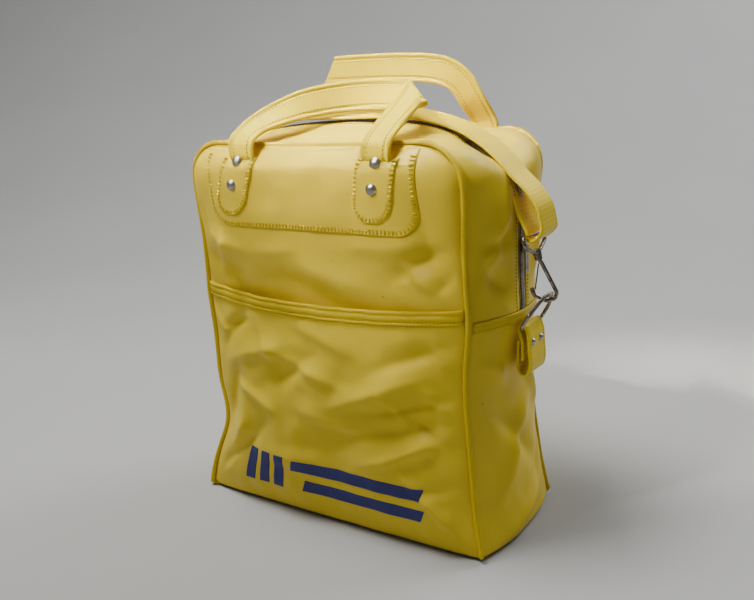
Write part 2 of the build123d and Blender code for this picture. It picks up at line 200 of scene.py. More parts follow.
def crease(x, z, line, height, width):
    """A soft fold along a line from (x0, z0) to (x1, z1)."""
    x0, z0, x1, z1 = line
    length = math.hypot(x1 - x0, z1 - z0)
    ux, uz = (x1 - x0) / length, (z1 - z0) / length
    along = (x - x0) * ux + (z - z0) * uz
    off = (z - z0) * ux - (x - x0) * uz
    off = off + 0.1 * width * np.sin(along / length * 5.0 + x0)
    ends = 1 / (1 + np.exp(-(along - 0.1 * length) / (0.11 * length)))
    ends = ends / (1 + np.exp((along - 0.9 * length) / (0.11 * length)))
    bend = off / width
    return height * ends * np.exp(-bend ** 2) * (1 - 0.35 * np.tanh(2 * bend))


def lumps(x, z, size, seed):
    """Gentle unevenness, the same each run."""
    out = np.empty(np.shape(x))
    flat_x, flat_z, flat_out = np.ravel(x), np.ravel(z), out.reshape(-1)
    for i in range(flat_x.size):
        flat_out[i] = noise.noise((flat_x[i] / size, flat_z[i] / size, seed))
    return out


def strengthened(fold_list, taller, wider):
    """The same folds, made higher and wider."""
    return [(line, taller * height, wider * width) for line, height, width in fold_list]


# each fold is (line, height, width); a line runs from (x, z) to (x, z)
PANEL_FOLDS = strengthened([
    ((-126, 268, -70, 250), 3.2, 8), ((-128, 246, -84, 222), -3.6, 9),
    ((-96, 262, -112, 226), 3.0, 6), ((-128, 300, -116, 254), -2.4, 8),
    ((30, 262, 128, 272), 2.2, 9), ((70, 236, 128, 266), -3.6, 8), ((104, 306, 122, 244), -2.6, 8),
    ((-20, 244, 64, 226), 2.6, 11), ((-60, 230, 10, 216), -2.4, 9), ((88, 250, 130, 220), 3.0, 6),
    ((-44, 330, -34, 290), -1.2, 12), ((24, 332, 30, 292), -1.0, 10),
    ((-70, 252, -20, 258), 1.6, 7), ((112, 226, 132, 246), -2.4, 5),
], 1.75, 1.25)
POCKET_FOLDS = [
    ((-128, 34, -92, 108), 5.0, 10), ((-114, 54, -62, 96), -4.6, 9),
    ((-126, 84, -96, 140), -5.0, 8), ((-104, 148, -30, 172), 4.6, 9),
    ((-64, 128, 0, 166), -4.2, 10), ((-98, 126, -48, 106), 3.8, 6), ((-58, 166, 30, 140), 3.6, 7),
    ((14, 122, 104, 158), 5.0, 10), ((30, 96, 120, 120), -5.6, 9), ((50, 74, 126, 108), 4.8, 8),
    ((60, 160, 128, 188), -4.4, 9), ((76, 132, 128, 98), -4.4, 6), ((86, 70, 134, 26), 4.2, 7),
    ((-30, 192, 36, 172), 3.2, 8), ((-24, 78, 44, 92), -3.2, 12), ((-136, 26, -106, 62), -4.8, 7),
    ((104, 150, 132, 122), 4.0, 5), ((-84, 192, -114, 156), -4.0, 7), ((66, 142, 98, 114), 4.0, 5),
    ((112, 188, 130, 158), 3.6, 5), ((-132, 192, -112, 168), 4.0, 5),
    ((-118, 176, -80, 186), -2.8, 5), ((-70, 60, 0, 66), 2.4, 12), ((56, 122, 128, 140), -3.2, 5),
    ((-50, 150, -70, 190), 2.4, 6), ((90, 52, 132, 66), -3.0, 7), ((-20, 112, 50, 104), 2.4, 7),
]
BACK_FOLDS = [
    ((-110, 60, -30, 120), 4.6, 11), ((-60, 40, 40, 70), -4.0, 11), ((20, 130, 116, 180), 4.6, 11),
    ((-110, 170, -20, 210), -4.2, 11), ((30, 220, 120, 250), 3.6, 10),
    ((60, 60, 124, 120), -4.0, 10), ((-120, 240, -50, 226), 3.0, 8),
    ((-126, 120, -96, 60), -3.4, 8), ((-20, 150, 70, 110), 2.6, 8),
]


def edge_calm(u, z):
    """Folds die away at the seams."""
    side = 1 - np.abs(u) ** 10
    return side * np.clip(z / 14, 0, 1) * np.clip((BODY_H - z) / 14, 0, 1)


def folds(folds_list, x, z, size, seed, lump):
    total = lump * lumps(x, z, size, seed) + 0.4 * lump * lumps(x, z, size * 0.4, seed + 5)
    for line, height, width in folds_list:
        total = total + crease(x, z, line, height, width)
    return total


# where a face stands, which way it looks, its fullness by height, its folds, its unevenness and its seed
SURFACES = {
    "front": (front_y, -1, FRONT_FULL, PANEL_FOLDS, 2.0, 3.1),
    "pocket": (front_y, -1, POCKET_FULL, POCKET_FOLDS, 3.4, 7.7),
    "back": (back_y, 1, BACK_FULL, BACK_FOLDS, 1.8, 12.3),
}


def face_y(name, x, z, out=0.0):
    """Depth of a face of the bag at (x, z), `out` proud of it."""
    place, facing, table, fold_list, lump, seed = SURFACES[name]
    u = np.clip(x / half_width(z), -1, 1)
    share = np.sqrt(np.clip(1 - u ** 4, 0, 1))
    if name == "pocket":
        share = np.clip(1 - np.abs(u) ** 3.2, 0, 1) ** 0.75
    bulge = look_up(table, z) * share
    bulge = bulge + folds(fold_list, x, z, 46, seed, lump) * edge_calm(u, z)
    bulge = bulge - SEAM_NIP * np.exp(-half_width(z) * (1 - np.abs(u)) / 2.6)
    return place(z) + facing * (bulge - foot_tuck(z) + out)


def face_rows(z_low, z_high, step):
    rows = list(np.arange(z_low, min(z_high, SHOULDER_Z), step))
    if z_high > SHOULDER_Z:
        turns = np.linspace(0, math.pi / 2, 34)
        rows += [SHOULDER_Z + CORNER_R * math.sin(a) for a in turns]
    else:
        rows.append(z_high)
    return np.array(rows)


def face_grid(name, z_low, z_high, step, cols):
    z = face_rows(z_low, z_high, step)
    u = np.linspace(-1, 1, cols)
    u = np.sin(u * math.pi / 2) * 0.5 + u * 0.5
    zz, uu = np.meshgrid(z, u, indexing="ij")
    xx = uu * half_width(zz)
    top_dip = TOP_DIP * (1 - uu ** 2) * np.clip((zz - SHOULDER_Z) / CORNER_R, 0, 1)
    yy = face_y(name, xx, zz)
    return np.stack([xx, yy, zz - top_dip], axis=-1)


def overlay(name, surface, centre_x, half, z_low, z_high, corner, out, material, lean=0.0, step=1.3):
    """A layer sewn onto a face: rounded lower corners, its edge pressed down into a groove."""
    rows = int((z_high - z_low) / step)
    v = np.linspace(0, 1, rows) ** 1.15
    z = z_low + v * (z_high - z_low)
    drop = np.clip(corner - (z - z_low), 0, corner)
    width = half - corner + np.sqrt(np.maximum(corner ** 2 - drop ** 2, 0.0))
    cols = max(15, int(2 * half / step))
    u = np.linspace(-1, 1, cols)
    zz = np.repeat(z[:, None], cols, 1)
    xx = centre_x + u[None, :] * width[:, None] + lean * (z_high - zz)
    inside = np.minimum(width[:, None] * (1 - np.abs(u[None, :])), zz - z_low)
    rise = out * np.clip(inside / 1.6, 0, 1) ** 0.5 - 0.8 * np.exp(-((inside - 3.2) / 0.8) ** 2)
    yy = face_y(surface, xx, zz, rise)
    top_dip = TOP_DIP * (1 - (xx / 139) ** 2) * np.clip((zz - SHOULDER_Z) / CORNER_R, 0, 1)
    grid = np.stack([xx, yy, zz - top_dip], axis=-1)
    return grid_piece(name, grid, material, flip=SURFACES[surface][1] > 0, thick=1.0)


# ---- girth: side gussets and zip strips ----
SIDE_Z = np.concatenate([np.arange(0, HEM_Z, 3.0), np.arange(HEM_Z, SHOULDER_Z, 3.0)])
HEM_ROW = int(np.argmin(np.abs(SIDE_Z - HEM_Z)))
ARC = np.linspace(0, math.pi / 2, 26)[1:]
TOP_X = np.linspace(1, -1, 70)[1:-1]


def girth_outline():
    """Points and outward normals up the right side, over the top and down the left."""
    right = [(float(half_width(z)), z, 1.0, 0.0, float(look_up(SIDE_SHARE, z))) for z in SIDE_Z]
    inner = float(look_up(HALF, SHOULDER_Z)) - CORNER_R
    for a in ARC:
        share = 1.0 - 0.72 * (math.sin(a) ** 2)
        right.append((inner + CORNER_R * math.cos(a), SHOULDER_Z + CORNER_R * math.sin(a),
                      math.cos(a), math.sin(a), share))
    top = []
    for t in TOP_X:
        rise = 1 - t * t
        top.append((t * inner, SHOULDER_Z + CORNER_R - TOP_DIP * rise, 0.0, 1.0, 0.28 + 0.1 * rise))
    left = [(-x, z, -nx, nz, share) for x, z, nx, nz, share in right[::-1]]
    return np.array(right + top + left)


GIRTH = girth_outline()
COUNT = len(GIRTH)
MOUTH_HALF_LENGTH = 118.0


def girth_bulge(y, z):
    reach = np.where(y < 0, -front_y(z), back_y(z))
    q = np.clip(np.abs(y) / reach, 0, 1)
    return SIDE_FULL * (1 - q ** 2.2) ** 0.85


# on the sides a line runs from (y, z) to (y, z)
SIDE_FOLDS = strengthened([
    ((-50, 40, 10, 120), 3.4, 9), ((-40, 130, 30, 60), -3.2, 10), ((10, 160, 54, 100), 2.8, 8),
    ((-56, 230, -24, 300), 2.6, 8), ((-50, 250, -20, 222), -2.8, 7), ((20, 230, 60, 300), 2.8, 9),
    ((30, 30, 56, 90), -2.6, 8), ((-54, 170, -20, 150), 2.0, 7), ((-52, 262, -18, 272), -2.2, 6),
    ((-30, 12, 40, 34), 2.4, 7),
], 1.7, 1.15)


CORNER_SINK = 19.0
MOUTH_RISE = 10.5
LEFT_SHIFT = 9.0


def corner_slack(x, z, y):
    """The open zip lets the top corners sink in along the middle of the depth."""
    near = ((np.abs(x) - 131) ** 2 + (z - 337) ** 2) / 27.0 ** 2
    return CORNER_SINK * np.exp(-near) * np.exp(-(y / 34.0) ** 2)


def mouth_lift(x, nz, y):
    """The strips rise towards the zip where the handles and the strap pull the top up."""
    near = np.exp(-(y / 34.0) ** 2)
    return MOUTH_RISE * near * np.clip(1 - (x / 112.0) ** 2, 0, 1) * (nz > 0.9)


def girth_point(row, y, out=0.0):
    """Points on the girth for outline rows and depths y (arrays of one shape)."""
    x0, z0, nx, nz, share = (GIRTH[row, i] for i in range(5))
    bulge = girth_bulge(y, z0) * share
    side = np.abs(nx)
    reach = np.where(y < 0, -front_y(z0), back_y(z0))
    calm = np.clip(1 - (np.abs(y) / reach) ** 6, 0, 1) * np.clip(z0 / 12, 0, 1)
    lane = 1 - np.exp(-(y / 10.0) ** 2) * (z0 > HEM_Z - 14)
    mirror_y = y + np.where(nx < 0, LEFT_SHIFT, 0.0)
    wave = folds(SIDE_FOLDS, mirror_y, z0 + 0.3 * np.where(nx < 0, 14, 0), 40, 21.5, 1.5)
    total = bulge - corner_slack(x0, z0, y) + side * calm * lane * wave
    total = total + (1 - side) * calm * lane * 0.9 * lumps(x0, y, 38, 33.0) + out
    total = total + mouth_lift(x0, nz, y)
    tuck = foot_tuck(z0)
    return np.stack([x0 + nx * (total - tuck), y + 0 * x0, z0 + nz * total], axis=-1)


def lane_y(row):
    """Half the zip lane's width beside each row: bowed open along the mouth."""
    x0, nz = GIRTH[row, 0], GIRTH[row, 3]
    bow = 6.4 * np.clip(1 - (x0 / MOUTH_HALF_LENGTH) ** 2, 0, 1) * (nz > 0.05)
    return bow


def girth_strip(name, rows, side, near, material):
    """A strip of the girth from its seam to `near` beside the zip; side -1 is the front one."""
    cols = 40
    t = np.linspace(0, 1, cols)
    rr, tt = np.meshgrid(rows, t, indexing="ij")
    z0 = GIRTH[rr, 1]
    seam = np.where(side < 0, front_y(z0), back_y(z0))
    edge = side * (near + lane_y(rr))
    y = seam + (edge - seam) * tt
    return grid_piece(name, girth_point(rr, y), material, flip=side > 0)


# ---- bands, beads and stitches ----
BEAD_SIDES = 14
# stitches are (length, width, height)
LADDER_STITCH = (5.2, 1.5, 1.2)
HANDLE_STITCH = (2.2, 0.8, 0.5)
STRAP_STITCH = (1.1, 0.7, 0.4)
TAB_STITCH = (2.0, 0.5, 0.3)
POCKET_STITCH = (2.3, 0.55, 0.35)
HEM_STITCH = (2.1, 0.5, 0.35)
ZIP_STITCH = (2.1, 0.5, 0.4)


def spline_through(points, count):
    """A smooth path through points, evenly spaced."""
    pts = np.array(points, dtype=float)
    ext = np.vstack([2 * pts[0] - pts[1], pts, 2 * pts[-1] - pts[-2]])
    out = []
    for i in range(1, len(ext) - 2):
        p0, p1, p2, p3 = ext[i - 1], ext[i], ext[i + 1], ext[i + 2]
        for t in np.linspace(0, 1, 24, endpoint=False):
            out.append(0.5 * (2 * p1 + (p2 - p0) * t + (2 * p0 - 5 * p1 + 4 * p2 - p3) * t ** 2
                              + (3 * p1 - p0 - 3 * p2 + p3) * t ** 3))
    out.append(ext[-2])
    out = np.array(out)
    gaps = np.linalg.norm(np.diff(out[:, :3], axis=0), axis=1)
    run = np.concatenate([[0], np.cumsum(gaps)])
    at = np.linspace(0, run[-1], count)
    return np.stack([np.interp(at, run, out[:, k]) for k in range(out.shape[1])], axis=-1)


def unit(v):
    return v / np.maximum(np.linalg.norm(v, axis=-1, keepdims=True), 1e-9)


def path_frames(path, across):
    ahead = unit(np.gradient(path, axis=0))
    across = unit(across - ahead * np.sum(across * ahead, axis=1, keepdims=True))
    face = np.cross(ahead, across)
    return ahead, across, face


def swept(name, path, across, section, material, body="bag", aslant=False):
    """A closed cross-section carried along a path; section is (along width, along thickness).

    With `aslant` the width follows `across` as given, so that a fold may be cut at a slant.
    """
    _, wide, face = path_frames(path, across)
    if aslant:
        wide = across
    points = [p + s * w + h * f for p, w, f in zip(path, wide, face) for s, h in section]
    cols = len(section)
    faces = grid_faces(len(path), cols, wrap=True)
    faces.append(tuple(range(cols))[::-1])
    faces.append(tuple(range(len(points) - cols, len(points))))
    return make_mesh(name, points, faces, material, body)


def bead_path(name, path, radius, material):
    """A round bead along a path."""
    across = np.tile(np.array([0.0, 1.0, 0.02]), (len(path), 1))
    turns = np.linspace(0, 2 * math.pi, BEAD_SIDES, endpoint=False)
    section = [(radius * math.cos(a), radius * math.sin(a)) for a in turns]
    return swept(name, path, across, section, material)


def strap_section(width, thick, bead, groove=0.35):
    """Outline of a folded, stitched strap: corded edges and grooves where the thread pulls it in."""
    half = width / 2
    across = np.linspace(-half, half, 41)
    edge = half - bead
    top = []
    for s in across:
        body_h = thick / 2
        past = max(0.0, abs(s) - edge + bead)
        cord = math.sqrt(max(0.0, bead ** 2 - (past - bead) ** 2)) if past > 0 else 0.0
        dip = groove * math.exp(-((abs(s) - (edge - bead - 0.6)) / 0.5) ** 2)
        top.append((s, max(cord, (body_h - dip) if abs(s) < edge - bead * 0.5 else cord)))
    return top + [(s, -h) for s, h in top[::-1][1:-1]]


def stitch_run(store, places, ahead, face, stitch):
    """Rounded stitches lying on a surface; each is a small low dome."""
    length, width, height = stitch
    for p, a, f in zip(places, ahead, face):
        s = np.cross(f, a)
        base = len(store[0])
        ring = [(-0.5, 0), (-0.32, 0.5), (0.32, 0.5), (0.5, 0), (0.32, -0.5), (-0.32, -0.5)]
        for lift, shrink in ((-0.35, 1.0), (0.55, 0.86), (1.0, 0.5)):
            for u, v in ring:
                store[0].append(p + a * u * length * shrink + s * v * width * shrink + f * height * lift)
        for k in range(2):
            for j in range(6):
                q = base + 6 * k
                store[1].append((q + j, q + (j + 1) % 6, q + 6 + (j + 1) % 6, q + 6 + j))
        store[1].append(tuple(base + 12 + j for j in range(6)))
        store[1].append(tuple(base + j for j in range(5, -1, -1)))


def even_places(path, pitch):
    """Places along a path at an even pitch, with the direction ahead at each."""
    gaps = np.linalg.norm(np.diff(path, axis=0), axis=1)
    run = np.concatenate([[0], np.cumsum(gaps)])
    at = np.arange(pitch / 2, run[-1], pitch)
    places = np.stack([np.interp(at, run, path[:, k]) for k in range(3)], axis=-1)
    ahead = unit(np.stack([np.interp(at, run, np.gradient(path[:, k])) for k in range(3)], axis=-1))
    return places, ahead


def stitched_line(store, line, outward, pitch, stitch):
    """Stitches along a line; `outward` is the way out at each of its points."""
    places, ahead = even_places(line, pitch)
    spots = np.linspace(0, len(line) - 1, len(places))
    at = np.arange(len(line))
    out = unit(np.stack([np.interp(spots, at, outward[:, k]) for k in range(3)], -1))
    stitch_run(store, places, ahead, out, stitch)


# ---- materials ----
def new_material(name):
    material = bpy.data.materials.new(name)
    material.use_nodes = True
    tree = material.node_tree
    shader = tree.nodes["Principled BSDF"]
    coords = tree.nodes.new("ShaderNodeTexCoord")
    return material, tree, shader, coords


def noise_node(tree, coords, scale, detail=4.0, rough=0.55, distort=0.0):
    node = tree.nodes.new("ShaderNodeTexNoise")
    node.inputs["Scale"].default_value = scale
    node.inputs["Detail"].default_value = detail
    node.inputs["Roughness"].default_value = rough
    node.inputs["Distortion"].default_value = distort
    tree.links.new(coords.outputs["Object"], node.inputs["Vector"])
    return node.outputs["Fac"]


def ramp_node(tree, source, stops):
    node = tree.nodes.new("ShaderNodeValToRGB")
    ramp = node.color_ramp
    while len(ramp.elements) < len(stops):
        ramp.elements.new(0.5)
    for element, (place, colour) in zip(ramp.elements, stops):
        element.position = place
        element.color = (*colour, 1)
    tree.links.new(source, node.inputs["Fac"])
    return node.outputs["Color"]


def mix_colour(tree, amount, first, second):
    node = tree.nodes.new("ShaderNodeMix")
    node.data_type = "RGBA"
    tree.links.new(amount, node.inputs["Factor"])
    tree.links.new(first, node.inputs[6])
    if isinstance(second, tuple):
        node.inputs[7].default_value = (*second, 1)
    else:
        tree.links.new(second, node.inputs[7])
    return node.outputs[2]


def bump_node(tree, shader, layers):
    """Stacked bumps; each layer is (height, strength, distance in metres)."""
    last = None
    for height, strength, distance in layers:
        node = tree.nodes.new("ShaderNodeBump")
        node.inputs["Strength"].default_value = strength
        node.inputs["Distance"].default_value = distance
        tree.links.new(height, node.inputs["Height"])
        if last:
            tree.links.new(last, node.inputs["Normal"])
        last = node.outputs["Normal"]
    tree.links.new(last, shader.inputs["Normal"])


def vinyl(name, light, deep, rough=(0.33, 0.45), grain=1.0, marks=True):
    """Coated cloth: even colour with faint wear, fine leather-like grain and a satin gloss."""
    material, tree, shader, coords = new_material(name)
    broad = noise_node(tree, coords, 14, 3)
    colour = ramp_node(tree, broad, [(0.3, deep), (0.7, light)])
    if marks:
        specks = noise_node(tree, coords, 230, 2, 0.5)
        speck_mask = ramp_node(tree, specks, [(0.775, (0, 0, 0)), (0.79, (0.7, 0.7, 0.7))])
        colour = mix_colour(tree, speck_mask, colour, (0.30, 0.13, 0.03))
        scuffs = noise_node(tree, coords, 9, 8, 0.75, 1.6)
        scuff_mask = ramp_node(tree, scuffs, [(0.66, (0, 0, 0)), (0.8, (0.3, 0.3, 0.3))])
        colour = mix_colour(tree, scuff_mask, colour, (0.38, 0.27, 0.05))
    tree.links.new(colour, shader.inputs["Base Color"])
    patchy = noise_node(tree, coords, 30, 5, 0.6)
    gloss = ramp_node(tree, patchy, [(0.3, (rough[0],) * 3), (0.7, (rough[1],) * 3)])
    tree.links.new(gloss, shader.inputs["Roughness"])
    shader.inputs["Specular IOR Level"].default_value = 0.15
    cells = tree.nodes.new("ShaderNodeTexVoronoi")
    cells.inputs["Scale"].default_value = 1100
    tree.links.new(coords.outputs["Object"], cells.inputs["Vector"])
    wrinkle = noise_node(tree, coords, 90, 5, 0.6, 0.4)
    soft = noise_node(tree, coords, 34, 3, 0.5)
    bump_node(tree, shader, [(cells.outputs["Distance"], 0.10 * grain, 0.0003), (wrinkle, 0.12, 0.0012),
                             (soft, 0.22, 0.003)])
    return material


def metal(name, bright, dull, rough=(0.2, 0.42)):
    """Nickel plate gone dull and brown in patches, with fine scratches."""
    material, tree, shader, coords = new_material(name)
    patches = noise_node(tree, coords, 260, 6, 0.7, 0.5)
    tree.links.new(ramp_node(tree, patches, [(0.35, dull), (0.6, bright)]), shader.inputs["Base Color"])
    gloss = ramp_node(tree, patches, [(0.3, (rough[1],) * 3), (0.65, (rough[0],) * 3)])
    tree.links.new(gloss, shader.inputs["Roughness"])
    shader.inputs["Metallic"].default_value = 1.0
    bump_node(tree, shader, [(noise_node(tree, coords, 900, 3, 0.6), 0.05, 0.0001)])
    return material


def woven(name, light, deep):
    """Tape cloth with a fine herringbone of ribs."""
    material, tree, shader, coords = new_material(name)
    wave = tree.nodes.new("ShaderNodeTexWave")
    wave.inputs["Scale"].default_value = 520
    wave.inputs["Distortion"].default_value = 1.5
    tree.links.new(coords.outputs["Object"], wave.inputs["Vector"])
    colour = ramp_node(tree, wave.outputs["Fac"], [(0.2, deep), (0.8, light)])
    tree.links.new(colour, shader.inputs["Base Color"])
    shader.inputs["Roughness"].default_value = 0.85
    bump_node(tree, shader, [(wave.outputs["Fac"], 0.5, 0.0003)])
    return material


YELLOW = (0.84, 0.62, 0.038)
YELLOW_DEEP = (0.74, 0.54, 0.028)
VINYL = vinyl("body_vinyl", YELLOW, YELLOW_DEEP)
TRIM = vinyl("trim_vinyl", (0.74, 0.55, 0.012), (0.62, 0.44, 0.008), (0.3, 0.42), 0.5)
STRAP = vinyl("strap_vinyl", (0.88, 0.67, 0.012), (0.80, 0.59, 0.008), (0.34, 0.46), 0.8)
THREAD = vinyl("thread", (0.36, 0.24, 0.012), (0.28, 0.18, 0.008), (0.6, 0.75), 0.3, False)
PRINT = vinyl("print_ink", (0.045, 0.05, 0.19), (0.035, 0.038, 0.15), (0.42, 0.55), 0.9, False)
NICKEL = metal("nickel", (0.40, 0.35, 0.29), (0.14, 0.10, 0.07), (0.2, 0.42))
RIVET_METAL = metal("rivet_metal", (0.50, 0.47, 0.42), (0.34, 0.31, 0.27), (0.28, 0.38))
ZIP_METAL = metal("zip_metal", (0.36, 0.35, 0.33), (0.16, 0.15, 0.13), (0.32, 0.5))
TAPE = woven("zip_tape", (0.50, 0.38, 0.07), (0.30, 0.22, 0.03))


def floor_material():
    material, tree, shader, coords = new_material("floor_paper")
    fac = noise_node(tree, coords, 3, 4)
    tree.links.new(ramp_node(tree, fac, [(0.3, (0.385, 0.385, 0.382)), (0.7, (0.405, 0.405, 0.402))]),
                   shader.inputs["Base Color"])
    shader.inputs["Roughness"].default_value = 0.9
    return material


def add_stage():
    """A paper sweep: flat floor that curves up into the backdrop far behind the bag."""
    bend_at, bend = 0.9, 1.6
    profile = [(-9.0, 0.0), (bend_at, 0.0)]
    for a in np.linspace(0.1, math.pi / 2, 16):
        profile.append((bend_at + bend * math.sin(a), bend * (1 - math.cos(a))))
    profile.append((bend_at + bend, 4.5))
    toward = Vector((-0.545, 0.838, 0))
    aside = Vector((0.838, 0.545, 0))
    points = []
    for run, rise in profile:
        for w in (-14.0, 14.0):
            points.append(tuple(toward * run + aside * w + Vector((0, 0, rise))))
    mesh = bpy.data.meshes.new("floor")
    mesh.from_pydata(points, [], grid_faces(len(profile), 2))
    mesh.materials.append(floor_material())
    mesh.shade_smooth()
    floor = bpy.data.objects.new("floor", mesh)
    bpy.context.scene.collection.objects.link(floor)
    world = bpy.data.worlds.new("world")
    bpy.context.scene.world = world
    world.use_nodes = True
    world.node_tree.nodes["Background"].inputs["Color"].default_value = (0.9, 0.92, 0.95, 1)
    world.node_tree.nodes["Background"].inputs["Strength"].default_value = 0.1


# ---- the bag's pieces ----
def declare(obj, slot, *nodes):
    if nodes:
        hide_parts(*nodes)
    return obj


def body_panels():
    front = grid_piece("front_sheet", face_grid("front", 1.5, 346, 1.7, 190), VINYL)
    declare(front, "body_vinyl", "front_panel")
    back = grid_piece("back_sheet", face_grid("back", 1.5, 346, 2.4, 140), VINYL, flip=True)
    declare(back, "body_vinyl", "back_panel")
    pocket = grid_piece("pocket_sheet", pocket_grid(), VINYL)
    declare(pocket, "body_vinyl", "pocket_panel")
    base_u = np.linspace(-1, 1, 60)
    base_v = np.linspace(0, 1, 40)
    uu, vv = np.meshgrid(base_u, base_v, indexing="ij")
    y = front_y(0) + FOOT_R + (back_y(0) - front_y(0) - 2 * FOOT_R) * vv
    half = half_width(0) + girth_bulge(y, np.zeros_like(y)) * 0.55 - FOOT_R + 3
    grid = np.stack([uu * half, y, 0.3 + 0 * y], axis=-1)
    declare(grid_piece("base_sheet", grid, VINYL, flip=True, thick=-1.6), "body_vinyl", "bottom_panel")


def pocket_top(x):
    """The pocket's mouth sags a little in the middle."""
    return 212.0 - 7.0 * (1 - (x / 138.0) ** 2)


def pocket_grid():
    """The pocket's face, its rows stretched to end just under the mouth."""
    low, high = 1.5, 206
    grid = face_grid("pocket", low, high, 1.7, 200)
    x = grid[..., 0]
    z = low + (grid[..., 2] - low) * (pocket_top(x) - 2 - low) / (high - low)
    grid[..., 2] = z
    grid[..., 1] = face_y("pocket", x, z)
    return grid


def pocket_trim():
    """Folded binding along the mouth, with a doubled rounded edge and a row of stitches."""
    x = np.linspace(-136.5, 136.5, 150)
    z = pocket_top(x)
    path = np.stack([x, face_y("pocket", x, z, 0.4), z], axis=-1)
    section = [
        (-9.5, 0.5), (-8.8, 1.5), (-7.6, 1.8), (-6.6, 1.1), (-6.0, 1.0), (-5.0, 1.8), (-3.0, 2.2),
        (-1.2, 1.9), (-0.4, 1.2), (0.4, 2.2), (1.6, 2.6), (2.6, 2.0), (3.1, 0.6), (2.6, -1.0),
        (1.4, -1.9), (-2.0, -1.2), (-6.0, -0.9), (-9.3, -0.6),
    ]
    drop = face_y("pocket", x, z - 9, 0.4) - face_y("pocket", x, z, 0.4)
    across = unit(np.stack([0 * x, -drop, 9 + 0 * x], axis=-1))
    points = []
    for p, w in zip(path, across):
        out = np.cross(np.array([1.0, 0, 0]), w)
        points += [p + s * w + h * out for s, h in section]
    cols = len(section)
    faces = grid_faces(len(path), cols, wrap=True)
    faces.append(tuple(range(cols))[::-1])
    faces.append(tuple(range(len(points) - cols, len(points))))
    trim = make_mesh("pocket_trim", points, faces, TRIM)
    declare(trim, "trim_vinyl", "pocket_binding")
    outs = np.cross(np.tile([1.0, 0, 0], (len(path), 1)), across)
    line = path + across * -6.3 + outs * 1.15
    store = ([], [])
    places, ahead = even_places(line, 3.4)
    face = np.tile(outs.mean(axis=0), (len(places), 1))
    stitch_run(store, places, ahead, unit(face), POCKET_STITCH)
    declare(make_mesh("pocket_stitches", store[0], store[1], THREAD), "trim_vinyl")


def surface_line(surface, points, out):
    """A line on a face through (x, z) points."""
    path = spline_through([(x, 0, z) for x, z in points], 400)
    x, z = path[:, 0], path[:, 2]
    return np.stack([x, face_y(surface, x, z, out), z], axis=-1)


def normals_on(surface, places, out):
    """The way straight out of a face at each place, from its slope over a short step."""
    e = 1.0
    x, z = places[:, 0], places[:, 2]
    dx = face_y(surface, x + e, z, out) - face_y(surface, x - e, z, out)
    dz = face_y(surface, x, z + e, out) - face_y(surface, x, z - e, out)
    facing = SURFACES[surface][1]
    return unit(np.stack([-facing * dx / 2, facing * np.ones(len(places)), -facing * dz / 2], axis=-1))


def u_points(centre_x, half, z_low, z_high, corner, lean=0.0):
    """Down one side, round the lower corners and up the other."""
    pts = []
    for z in np.linspace(z_high, z_low + corner, 6):
        pts.append((-half, z))
    for a in np.linspace(0, math.pi / 2, 6)[1:]:
        pts.append((-half + corner * (1 - math.cos(a)), z_low + corner * (1 - math.sin(a))))
    if half > corner * 1.2:
        pts += [(x, z_low) for x in np.linspace(-half + corner, half - corner, 8)[1:-1]]
    pts += [(-x, z) for x, z in pts[::-1][(0 if half > corner * 1.2 else 1):] if x < 0]
    return [(centre_x + x + lean * (z_high - z), z) for x, z in pts]


YOKE_HALF = 108.0
PATCH_HALF = 19.0
PATCH_X = 75.0
LADDER_PITCH = 3.5
PATCH_LEAN = {-1: -0.36, 1: -0.16}
PATCH_MIDDLE = {-1: -65.0, 1: 76.0}


def patch_place(surface, side):
    """Middle and lean of a handle's patch; the front ones stand askew."""
    if surface == "front":
        return PATCH_MIDDLE[side], PATCH_LEAN[side]
    return side * PATCH_X, 0.0


def yokes():
    for surface in ("front", "back"):
        yoke = overlay(f"{surface}_yoke_pad", surface, 0, YOKE_HALF, 273, 343, 20, 2.0, VINYL)
        declare(yoke, "body_vinyl", f"{surface}_yoke")
        store = ([], [])
        for side in (-1, 1):
            middle, lean = patch_place(surface, side)
            name = f"{surface}_patch_{'right' if side > 0 else 'left'}"
            patch = overlay(name, surface, middle, PATCH_HALF, 283, 336.0, 18.5, 3.9, VINYL, lean, 0.9)
            line = surface_line(surface, u_points(middle, PATCH_HALF - 3.2, 286.2, 335, 15.3, lean), 3.3)
            add_ladder(store, surface, line, 3.3)
        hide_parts(f"{surface}_handle_patches")
        line = surface_line(surface, u_points(0, YOKE_HALF - 3.4, 276.4, 338, 17), 1.4)
        add_ladder(store, surface, line, 1.4)
        declare(make_mesh(f"{surface}_ladder_stitches", store[0], store[1], TRIM), "trim_vinyl")


def add_ladder(store, surface, line, out):
    """Stamped stitches: short bars across the line."""
    places, ahead = even_places(line, LADDER_PITCH)
    face = normals_on(surface, places, out)
    stitch_run(store, places, unit(np.cross(face, ahead)), face, LADDER_STITCH)


def pipings():
    """A bead round each face's seam, its ends curled in under the foot."""
    for word, place, facing in (("front", front_y, -1), ("back", back_y, 1)):
        x, z = GIRTH[:, 0], GIRTH[:, 1]
        tuck = foot_tuck(z)
        path = np.stack([x + np.sign(x) * 0.6 * (np.abs(GIRTH[:, 2]) > 0.3), place(z) + facing * (1.0 - tuck),
                         z + 0.6 * GIRTH[:, 3] + 1.6 * (z < 3)], axis=-1)
        curl = [np.array([s * (153 - 10), facing * 60.0, 1.9]) for s in (1, -1)]
        path = np.vstack([curl[0], path[1:-1], curl[1]])
        path = spline_through(path[::2] if len(path) % 2 else np.vstack([path[:-1:2], path[-1:]]), 420)
        piping = bead_path(f"{word}_bead", path, 2.3, TRIM)
        declare(piping, "trim_vinyl", f"{word}_piping")


